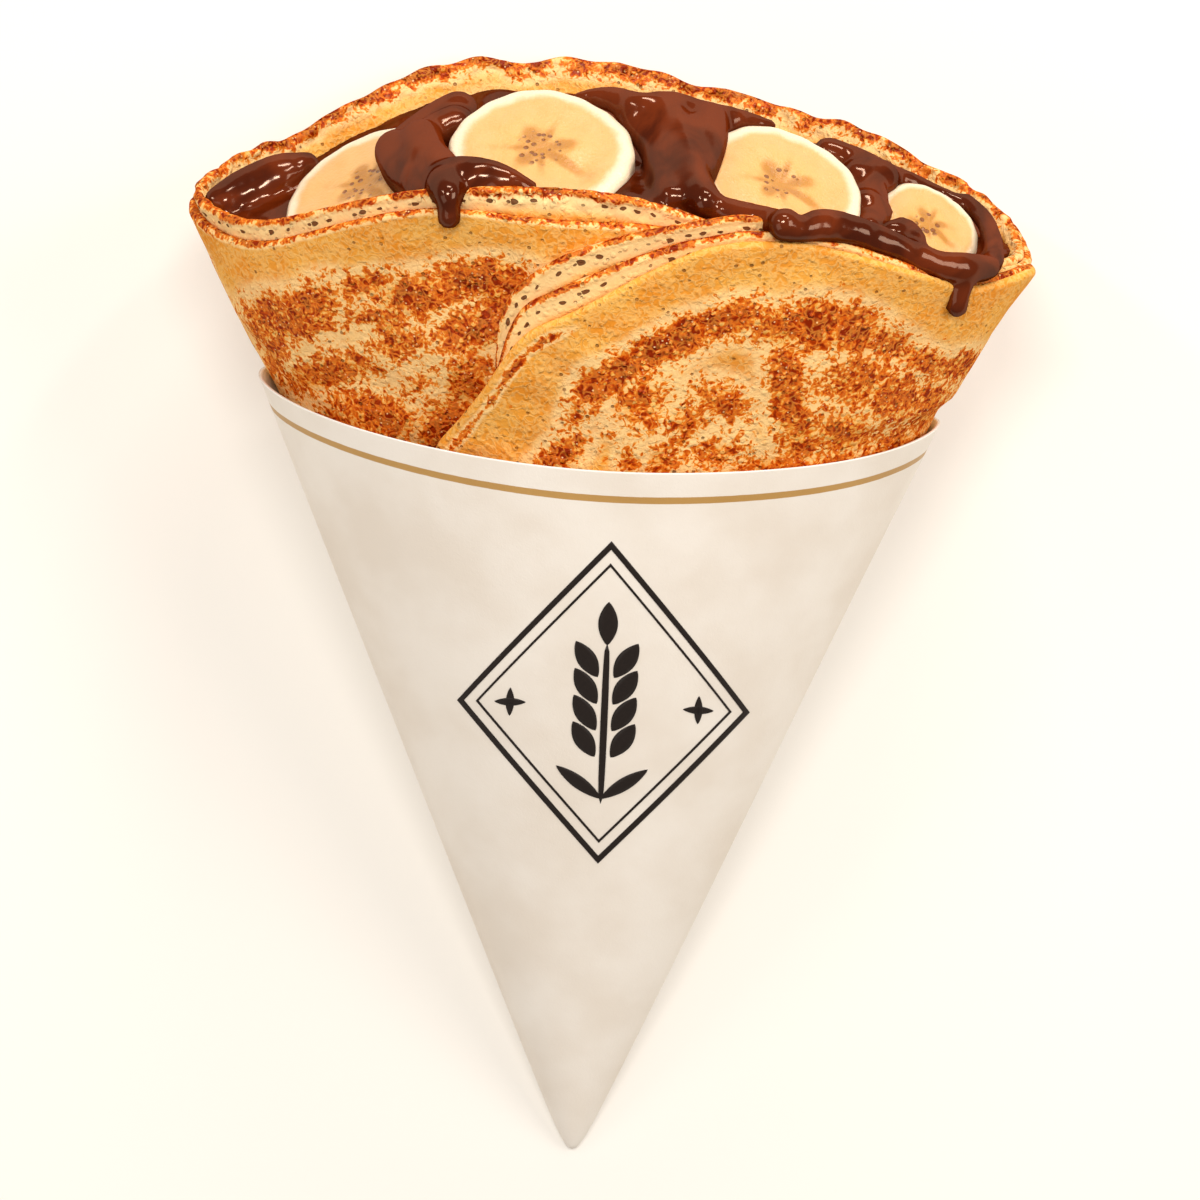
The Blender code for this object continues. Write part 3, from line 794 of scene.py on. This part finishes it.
# (angle, slant) knots of the three flap edges, from the right side round to the diagonal
FLAP_EDGES = (
    ((-16, 159), (0, 160.5), (20, 161.5), (35, 158.5), (50, 160), (60, 162.5), (68, 165),
     (75, 165.4), (81.5, 162.5), (88.5, 159.2), (95.8, 155.5), (100.2, 151.5), (103, 148),
     (105.3, 143), (106.3, 138), (106.6, 132), (108, 120), (112, 100), (118, 80)),
    ((-16, 160), (0, 162), (20.5, 163.8), (27, 162), (35, 159.6), (42, 160), (49, 161.3), (59, 163),
     (67, 163.8), (74.5, 163), (81.5, 159.7), (88, 155.2), (95.5, 150.3), (101, 146.6),
     (103.6, 142), (105, 137), (107, 130), (110, 118), (114, 100), (120, 80)),
    ((-16, 160), (0, 162), (20.5, 163.6), (27, 161.8), (35, 159.4), (42, 159.7), (49, 160.8),
     (59, 162.2), (67, 162.8), (74.5, 161.8), (79, 159.8), (84, 155.2), (91.2, 148.6), (95.8, 145),
     (99.5, 143), (102, 140.5), (104.2, 137), (108.5, 129.8), (113.2, 124), (118.5, 119),
     (124, 108), (130, 92), (136, 76)),
)
# angles along the flap's diagonal edge, and its slant at each
DIAGONAL = (
    (0, 84, 91, 99, 104, 108, 113, 118, 130, 140),
    (200, 170, 152, 143, 137, 130, 124, 119, 92, 60))


def flap_cover(angle, slant):
    """1 under the flap and 0 past its diagonal edge, with a soft change beside it."""
    diagonal = np.interp(angle % 360, *DIAGONAL)
    return ramp(diagonal + 16 - slant, 0, 16) * (angle % 360 < 200)


def flap_lift(angle, slant):
    """How far the flap stands off the roll, 0 to 1: a ramp from its start times one from its base."""
    return ramp(angle, FLAP_START, 45) * ramp(slant, FLAP_LOW, FLAP_LOW + 35)


def pressed_in(angle, slant):
    """How far the three layers of the flap press the wraps in."""
    return 3 * FLAP_STEP * flap_cover(angle, slant) * flap_lift(angle % 360, slant)


# %% Wraps
columns = np.arange(0, 360, 0.75)
INNER_BASE = np.full(len(columns), 106.0)
OUTER_BASE = np.full(len(columns), 84.0)


def crust_width(angle):
    """Width of the toasted line along the rim: widest at the back, with a small hill in front."""
    return 1.1 + 2.2 * bump(angle, 268, 75) + 0.9 * bump(angle, 98, 16)


def wrap_line(angle):
    """The rolled rim is toasted except at the right, where the flap begins."""
    return 0.88 + 0.22 * bump(angle, 268, 75) - 0.7 * bump(angle, 30, 32), 0.0


# where the flap begins at the right, both edges dip
inner_edge = crepe_rim(columns) - 2.5 * bump(columns, 15, 30)
outer_edge = outer_rim(columns) - 2.0 * bump(columns, 15, 30)
sheet(
    "wrap_inner", (columns, inner_edge), (columns, INNER_BASE),
    lambda angle, slant, distance: np.full(slant.shape, -LAYER - HALF),
    lambda angle, slant: LAYER + pressed_in(angle, slant),
    crust_width, closed=True, toasted=wrap_line, lip=lambda angle: ramp(angle, 50, 70))
sheet(
    "wrap_outer", (columns, outer_edge), (columns, OUTER_BASE),
    lambda angle, slant, distance: np.full(slant.shape, -HALF), pressed_in,
    lambda angle: 0.8 + 1.5 * bump(angle, 268, 70), closed=True, toasted=wrap_line, lip=np.zeros_like,
    spacing=0.9)

# %% Flap layers
FLAP_BASE_END = 112
# for each layer, the strength of its toasted line along the edge and how far inside it lies
FLAP_LINES = (
    lambda angle: (ramp(angle, 56, 66), 0.0),
    lambda angle: (1.0, 0.0),
    lambda angle: (ramp(angle, 92, 99) * (1 - 0.3 * ramp(angle, 104, 110)), 2.4),
)
# for each layer, where a pale lip shows
FLAP_LIPS = (lambda angle: ramp(angle, 56, 66), np.ones_like, np.zeros_like)


def flap_layer(number):
    """One layer of the folded end, columns evenly spaced along its own edge."""
    knots = FLAP_EDGES[number]
    dense = np.linspace(FLAP_START, knots[-1][0], 1200)
    slant = through(knots, dense)
    edge = CREPE.point(dense, slant, 0.0)
    run = np.concatenate([[0], np.cumsum(np.linalg.norm(np.diff(edge, axis=0), axis=-1))])
    even = np.linspace(0, run[-1], int(run[-1] / 0.8))
    angle = np.interp(even, run, dense)
    slant = np.interp(even, run, slant)
    base_angle = np.interp(even, [0, run[-1]], [FLAP_START, FLAP_BASE_END])
    base_slant = np.full(len(even), FLAP_LOW)
    top = FLAP_STEP * (number + 1)

    def lift(angle, slant, distance):
        """The layer's own step, half a millimetre more at its edge, times the flap's lift."""
        stand = 0.5 * (1 - ramp(distance, 0, 9)) * ramp(angle, 40, 90)
        return (top + stand) * flap_lift(angle, slant) - 0.3 - HALF

    sheet(
        "flap_%d" % (number + 1), (angle, slant), (base_angle, base_slant), lift,
        lambda angle, slant: np.full(slant.shape, FLAP_STEP * (2 - number)),
        lambda angle: np.full(angle.shape, 0.85),
        closed=False, toasted=FLAP_LINES[number], lip=FLAP_LIPS[number])


for number in range(3):
    flap_layer(number)

# %% [markdown]
# ## Banana slices
# A slice is a short round log cut across. Its cut face is pale at the rim and translucent yellow
# inside, with a soft star of short rays and tiny seeds round the centre. A cylinder would look turned
# on a lathe, so its outline is a circle with a few small waves, and rings of points run from the
# middle of the shown face over the rounded edge.

# %% Banana finish
banana = Paint("banana_flesh", 0.34, Subsurface_Weight=0.08, Subsurface_Scale=0.002, Coat_Weight=0.15)
local = banana.attribute("local", output="Vector")
share = banana.attribute("share")
star = banana.attribute("star")
clouds = banana.noise(local, 3.5, detail=3.0)
grain = banana.noise(local, 0.6, detail=3.0, distortion=0.6)
flesh = banana.mix(clouds, linear(228, 176, 112), linear(220, 158, 84))
flesh = banana.mix((1 - banana.step(share, 0.2, 0.75)) * 0.45, flesh, linear(226, 166, 78))
rays = banana.step(star + (clouds - 0.5) * 0.8, 0.08, 0.75)
flesh = banana.mix(rays * 0.9, flesh, linear(184, 120, 30))
rim = banana.step(share + (clouds - 0.5) * 0.12, 0.78, 0.9)
flesh = banana.mix(rim * 0.85, flesh, linear(236, 219, 188))
seed_distance = banana.cells(local, 1.55)
near_centre = (1 - banana.step(share, 0.22, 0.3)) * banana.step(share, 0.05, 0.1)
seeds = (1 - banana.step(seed_distance, 0.24, 0.36)) * near_centre
flesh = banana.mix(seeds * 0.9, flesh, linear(124, 62, 18))
shadow = banana.step(star, 0.5, 1.1) * near_centre
flesh = banana.mix(shadow * 0.45, flesh, linear(168, 108, 44))
height = grain * 0.5 + clouds * 0.5 - seeds * 0.8 - star * 0.4
banana_finish = banana.finish(flesh, height, 0.3, roughness=0.36 - rim * 0.06)

# %% Banana shapes
BANANAS = (
    # centre of the shown face from the paper's tip, radius, thickness, lean back, turn right
    ((-37.5, 180.6, 58.0), 16.0, 7.5, 44.0, -32.0),
    ((-5.4, 186.2, 69.0), 16.8, 8.5, 44.0, 0.0),
    ((37.8, 180.2, 66.5), 15.3, 8.5, 41.0, 17.5),
    ((65.2, 173.6, 53.0), 10.2, 7.0, 34.0, 23.5),
)
# the star's rays: turn and width in degrees, reach as a share of the radius, strength
RAYS = (
    (28, 16, 0.22, 0.9), (82, 9, 0.28, 0.7), (128, 18, 0.2, 1.0), (190, 10, 0.3, 0.5),
    (238, 20, 0.16, 0.9), (285, 9, 0.2, 0.6), (334, 11, 0.42, 1.0))
EDGE_RADIUS = 1.4
FACE_RINGS = 26


def slice_axes(lean, turn):
    """A slice's own X, Y and Z as three rows: leaning back about X, then turned about Y."""
    lean, turn = math.radians(-lean), math.radians(turn)
    cos, sin = math.cos(lean), math.sin(lean)
    about_x = np.array([[1, 0, 0], [0, cos, -sin], [0, sin, cos]])
    cos, sin = math.cos(turn), math.sin(turn)
    about_y = np.array([[cos, 0, sin], [0, 1, 0], [-sin, 0, cos]])
    return (about_y @ about_x).T


def banana_slice(number, centre, radius, thickness, lean, turn):
    """Rings from the shown face's centre, over a rounded edge, down the side and under to the back."""
    edge = EDGE_RADIUS
    bend = np.radians(np.arange(15, 91, 15))
    face = radius - edge
    reach = np.concatenate([
        np.linspace(0, 1, FACE_RINGS) * face, face + edge * np.sin(bend), np.full(4, radius),
        face + edge * np.cos(bend), np.linspace(1, 0, 8)[1:] * face])
    depth = np.concatenate([
        np.zeros(FACE_RINGS), edge * (1 - np.cos(bend)), np.linspace(edge, thickness - edge, 6)[1:-1],
        thickness - edge + edge * np.sin(bend), np.full(7, thickness)])
    turned = np.radians(np.arange(0, 360, 3.0))
    share = np.tile((reach / radius)[:, None], (1, len(turned)))
    wobble = 0.02 * np.cos(3 * turned + 1) + 0.012 * np.sin(5 * turned)
    wobble = wobble + 0.006 * np.sin(17 * turned + number)
    out = reach[:, None] * (1 + wobble)
    down = np.broadcast_to(-depth[:, None], out.shape)
    local = np.stack([out * np.cos(turned), out * np.sin(turned), down], -1)
    shown = (np.arange(len(reach)) <= FACE_RINGS)[:, None]
    swollen = 0.25 * waves(local + 40 * number, 9, 11) + 0.35 * (1 - share ** 2)
    swollen = swollen - 0.2 * np.exp(-(share / 0.12) ** 2)
    local[..., 2] += np.where(shown, swollen * ramp(1 - share, 0, 0.25), 0)
    grid = local @ slice_axes(lean, turn) + TIP + np.array(centre)
    star = 0.8 * np.exp(-(share / 0.19) ** 2)
    for ray, width, spread, strength in RAYS:
        away = (np.degrees(turned) - ray + 180 + 7 * number) % 360 - 180
        fade = np.exp(-(away / width * (0.6 + share)) ** 2 - ((share - 0.2) / spread) ** 2)
        star = star + strength * fade * ramp(share, 0.05, 0.25)
    piece = add_piece(
        "banana_%d" % number, [grid], banana_finish, poles=True, local=local, share=share, star=star)
    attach(piece, "root")
    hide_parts("banana_slice_%d" % number)


for number, spec in enumerate(BANANAS, 1):
    banana_slice(number, *spec)

# %% [markdown]
# ## Chocolate spread
# Spread is thick and glossy: it fills the roll, swells up in folds between the slices and runs over
# the edge in drips. The filling is a grid like the others. Each fold or drip is a round profile
# carried along a path. A voxel remesh melts them into one body and smoothing rounds the joints.
# Its skin is oily, so the finish adds an even shine, and a ripple drawn out along Y and Z
# bends the mirrored windows into streaks.

# %% Chocolate finish
chocolate = Paint("chocolate_spread", 0.5, Specular_IOR_Level=0.0)
place = chocolate.millimetres()
swirl = chocolate.noise(place, 14.0, detail=3.0, distortion=1.0)
tint = chocolate.mix(chocolate.step(swirl, 0.35, 0.65), linear(66, 18, 2), linear(102, 37, 9))
# Y and Z count for less, so the ripples are longer that way
downhill = chocolate.node("ShaderNodeVectorMath", {0: place, 1: (1.0, 0.4, 0.4)}, operation="MULTIPLY")
ripple = chocolate.noise(downhill, 7.0, detail=0.5, distortion=0.8)
chocolate_finish = chocolate.finish(tint, ripple, 1.5, shine=(0.044, 0.12, linear(255, 216, 188)))

# %% Filling
# the filling's edge lies inside two layers of batter, with a small gap
FILLING_DEPTH = 2 * LAYER + 0.2
SWELL = 9.0


def filling_level(angle):
    """Slant of the filling's edge on the roll's inner wall, deepest at the back."""
    return crepe_rim(angle) - 2.5 - 4.5 * bump(angle, 265, 60) - 1.5 * bump(angle, 180, 30)


def pressed_down(points):
    """Points in front of a slice's face moved back along its axis until they lie under it."""
    for centre, radius, _, lean, turn in BANANAS:
        axes = slice_axes(lean, turn)
        local = (points - TIP - np.array(centre)) @ axes.T
        near = 1 - ramp(np.hypot(local[..., 0], local[..., 1]), radius - 0.5, radius + 2.5)
        points = points - (np.maximum(local[..., 2] + 1.5, 0) * near)[..., None] * axes[2]
    return points


def filling():
    """Rings up the inner wall, then over the swelling face to its centre, pressed in by the slices."""
    turned = np.arange(0, 360, 2.0)
    level = filling_level(turned)
    wall = kept_clear(CREPE.point(turned, level, -FILLING_DEPTH), FILLING_DEPTH)
    centre = wall.mean(axis=0)
    rows = []
    for share in np.linspace(0.74, 1, 12)[:-1]:
        rows.append(kept_clear(CREPE.point(turned, share * level, -FILLING_DEPTH), FILLING_DEPTH))
    floor_point = np.mean(rows[0], axis=0)
    rows = [floor_point + (rows[0] - floor_point) * s for s in (0.001, 0.35, 0.7)] + rows
    for share in np.concatenate([[1.0], np.linspace(0.985, 0.001, 42)]):
        swell = SWELL * (1 - share ** 2) * CREPE.axis
        row = centre + (wall - centre) * share + swell
        row = row + CREPE.axis * (1.1 * waves(row, 19, 21) * (1 - share ** 6))[:, None]
        rows.append(pressed_down(row) if share < 0.97 else row)
    return np.array(rows)


# %% Folds and drips
# paths of x, y, z and radius in millimetres
FLOWS = (
    # over the left slice
    ((-39, 82.1, 60, 4.3), (-36.4, 78, 66, 4.8), (-32.6, 74.9, 74, 4.8), (-28.5, 73.7, 80, 4)),
    # along the front edge at the left
    ((-32.5, 74, 76, 4), (-28, 75.4, 79, 4.5), (-22.6, 75.4, 81, 4), (-18.2, 74.7, 82, 3),
     (-14.6, 74.1, 82, 1.5)),
    # in the corner between the left slices
    ((-34.5, 84, 63, 4), (-33.5, 80.5, 69, 4.2), (-31, 77.5, 74, 4.2)),
    ((-28.5, 87, 57, 4), (-33, 84.5, 59, 4), (-37.5, 81, 61, 4)),
    # left drip
    ((-29.3, 74.3, 82, 4), (-29.1, 72.3, 85.5, 2.8), (-28.9, 70.2, 85, 2.1),
     (-28.9, 68.6, 84.8, 2.3)),
    # behind the left slices
    ((-28.1, 90, 52, 4), (-31.4, 88.2, 52, 4), (-35, 85.4, 54, 4), (-38.2, 82.7, 56, 4)),
    # fold along the back
    ((-6, 92.5, 55.5, 1.2), (-0.5, 92, 57, 2.4), (5.1, 90.1, 61, 2.8), (10.9, 90.8, 59, 2.5),
     (16, 89, 58, 2.8), (22.8, 88.4, 54.5, 2.2), (29, 87.6, 52, 1.2)),
    # beside the second slice
    ((3.6, 89, 59, 3.2), (8.4, 82, 65, 3.6), (9.8, 75, 74, 3.2), (10.5, 72.6, 78.5, 2.5)),
    # middle
    ((8.7, 89.3, 60, 4), (12.2, 82.9, 66, 4.5), (13.9, 76, 74, 4), (16.5, 71.5, 80, 3.2)),
    ((17.5, 87.9, 59, 3.6), (16.8, 83.9, 64, 4.2), (15.5, 79, 69, 4), (14, 74.1, 75, 3.5)),
    # round the third slice
    ((21.5, 87.5, 55, 2.2), (15.5, 82, 64, 2.4), (13, 76.5, 71, 2.3), (13.6, 72.6, 75.5, 2.5),
     (18, 70.6, 79, 2.6), (24.7, 68.5, 83, 2.8), (29.5, 67.8, 85.5, 2.3)),
    # behind the right slices
    ((39.7, 83.2, 47, 2.8), (45.5, 80.6, 47.5, 3.1), (50.5, 78.8, 46.5, 2.5), (55, 77.4, 45, 2.2),
     (60, 75.5, 43, 1.9), (64.5, 73.5, 43, 1.8)),
    # between the right slices
    ((45.5, 79.8, 49, 3.2), (47, 75.6, 54, 3.2), (47.2, 71.6, 59, 3.2), (46.6, 67.5, 66, 3)),
    ((45.5, 77.5, 52, 4.2), (49, 78, 50, 3.8)),
    ((46, 72, 60.5, 3.6), (48.3, 71, 60, 2.8)),
    # round the fourth slice
    ((65.2, 74.2, 42.5, 1.8), (68.4, 70.5, 47, 1.9), (69.6, 66, 53, 1.9), (69, 62.2, 59, 2.2),
     (66.4, 60.4, 65, 2.5)),
    # ribbon along the front edge
    ((30.5, 67, 88, 3.2), (33.2, 66.3, 87, 2.5), (37.3, 67.2, 84, 3.1), (43, 66.3, 80, 3),
     (48.7, 64.5, 77, 2.8), (54.2, 62.4, 74, 2.6), (58.8, 60.9, 72, 2.6), (63, 60.4, 70, 3),
     (68.2, 60.9, 65, 2.2)),
    # small blob on it
    ((50, 67.2, 69, 2), (52.4, 67.2, 68, 2.6), (54.4, 65.4, 71, 2.2)),
    # right drip
    ((63.1, 60.5, 69, 2.8), (62.9, 57.6, 69, 2.2), (62.4, 55.1, 69.2, 1.9), (62.1, 53.7, 68, 2.2)),
    # left pocket
    ((-71.7, 73.8, 46, 3.5), (-68.5, 75.2, 44, 4.5), (-64.5, 76.8, 43, 5), (-60.2, 79, 43, 4.5),
     (-56.6, 80.7, 42, 3)),
)


def cap(end, before):
    """Rows past a path's end: outwards by the cosine of a quarter turn, the radius by its sine."""
    bend = np.radians((2, 25, 50, 75))
    away = (end - before)[:3] / np.linalg.norm((end - before)[:3])
    out = end[:3] + away * end[3] * np.cos(bend)[:, None]
    return np.column_stack([out, end[3] * np.sin(bend)])


def flow(knots):
    """A round profile carried along a smooth path through the knots, with rounded ends.

    Between two knots the path is a Catmull-Rom curve.
    """
    knots = np.array(knots, float)
    padded = np.vstack([2 * knots[0] - knots[1], knots, 2 * knots[-1] - knots[-2]])
    t = np.linspace(0, 1, 9)[:-1, None]
    path = [
        0.5 * (2 * b + (c - a) * t + (2 * a - 5 * b + 4 * c - d) * t ** 2 + (3 * b - a - 3 * c + d) * t ** 3)
        for a, b, c, d in zip(padded[:-3], padded[1:-2], padded[2:-1], padded[3:])]
    path = np.vstack([*path, knots[-1:]])
    path = np.vstack([cap(path[0], path[1]), path, cap(path[-1], path[-2])[::-1]])
    ahead = np.gradient(path[:, :3], axis=0)
    ahead /= np.linalg.norm(ahead, axis=1, keepdims=True)
    aside = np.cross(ahead, (0.3, 0.2, 1.0))
    aside /= np.linalg.norm(aside, axis=1, keepdims=True)
    above = np.cross(aside, ahead)
    turned = np.radians(np.arange(0, 360, 18))[:, None]
    ring = np.cos(turned) * aside[:, None] + np.sin(turned) * above[:, None]
    return path[:, None, :3] + path[:, 3][:, None, None] * ring


# %% Melting them together
VOXEL = 0.75
bodies = [filling(), *(flow(knots) for knots in FLOWS)]
chocolate_piece = add_piece("chocolate_flowing", bodies, chocolate_finish, poles=True)
melt = chocolate_piece.modifiers.new("melt", "REMESH")
melt.mode = "VOXEL"
melt.voxel_size = VOXEL * MM
melt.use_smooth_shade = True
soften = chocolate_piece.modifiers.new("soften", "SMOOTH")
soften.factor = 0.5
soften.iterations = 8
worked_out = chocolate_piece.evaluated_get(bpy.context.evaluated_depsgraph_get())
melted = bpy.data.meshes.new_from_object(worked_out)
chocolate_piece.modifiers.clear()
chocolate_piece.data = melted
melted.shade_smooth()
print("melted chocolate has", len(melted.polygons), "faces")
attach(chocolate_piece, "root")
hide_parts("chocolate")
